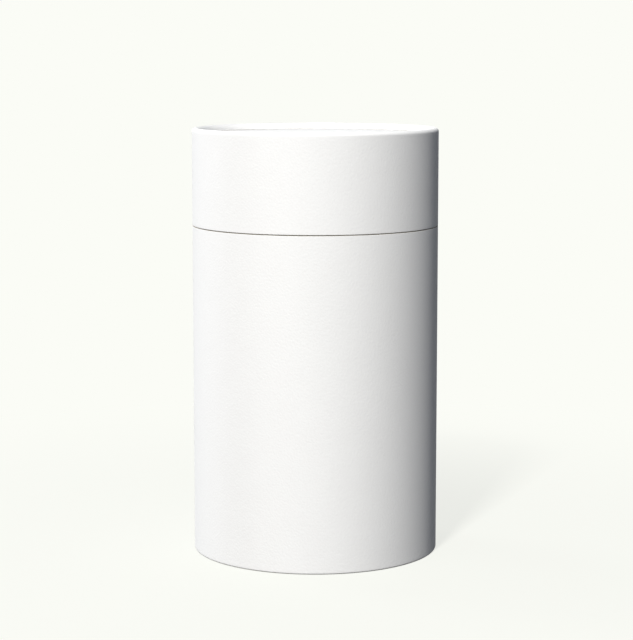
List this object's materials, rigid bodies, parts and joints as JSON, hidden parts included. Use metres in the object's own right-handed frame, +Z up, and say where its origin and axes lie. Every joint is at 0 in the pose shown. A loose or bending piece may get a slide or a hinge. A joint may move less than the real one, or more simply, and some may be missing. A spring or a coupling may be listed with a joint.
{
  "type": "cardboard cylinder box",
  "caption": "Plain white paperboard cylinder box: a round body with a glued-in neck and a push-on lid that meets it at a flush seam, with a rolled rim round a sunk end disc.",
  "frame": {"origin": "centre of the base, on the plane that the body's lower edge stands on", "axes": "+Z up along the tube's axis, from the base to the lid; the box is round, so +X and +Y are any two square directions"},
  "size_m": [0.088, 0.088, 0.1523],
  "materials": {
    "white_wrap": "matte",
    "white_liner": "matte"
  },
  "bodies": {
    "base": {"body_tube": "white_wrap", "base_disc": "white_liner", "neck_tube": "white_liner"},
    "lid": {"lid_tube": "white_wrap", "lid_disc": "white_wrap"}
  },
  "joints": [
    {"name": "lid_lift", "type": "slide", "parent": "base", "child": "lid", "axis": [0, 0, 1], "range_m": [0, 0.06]}
  ]
}
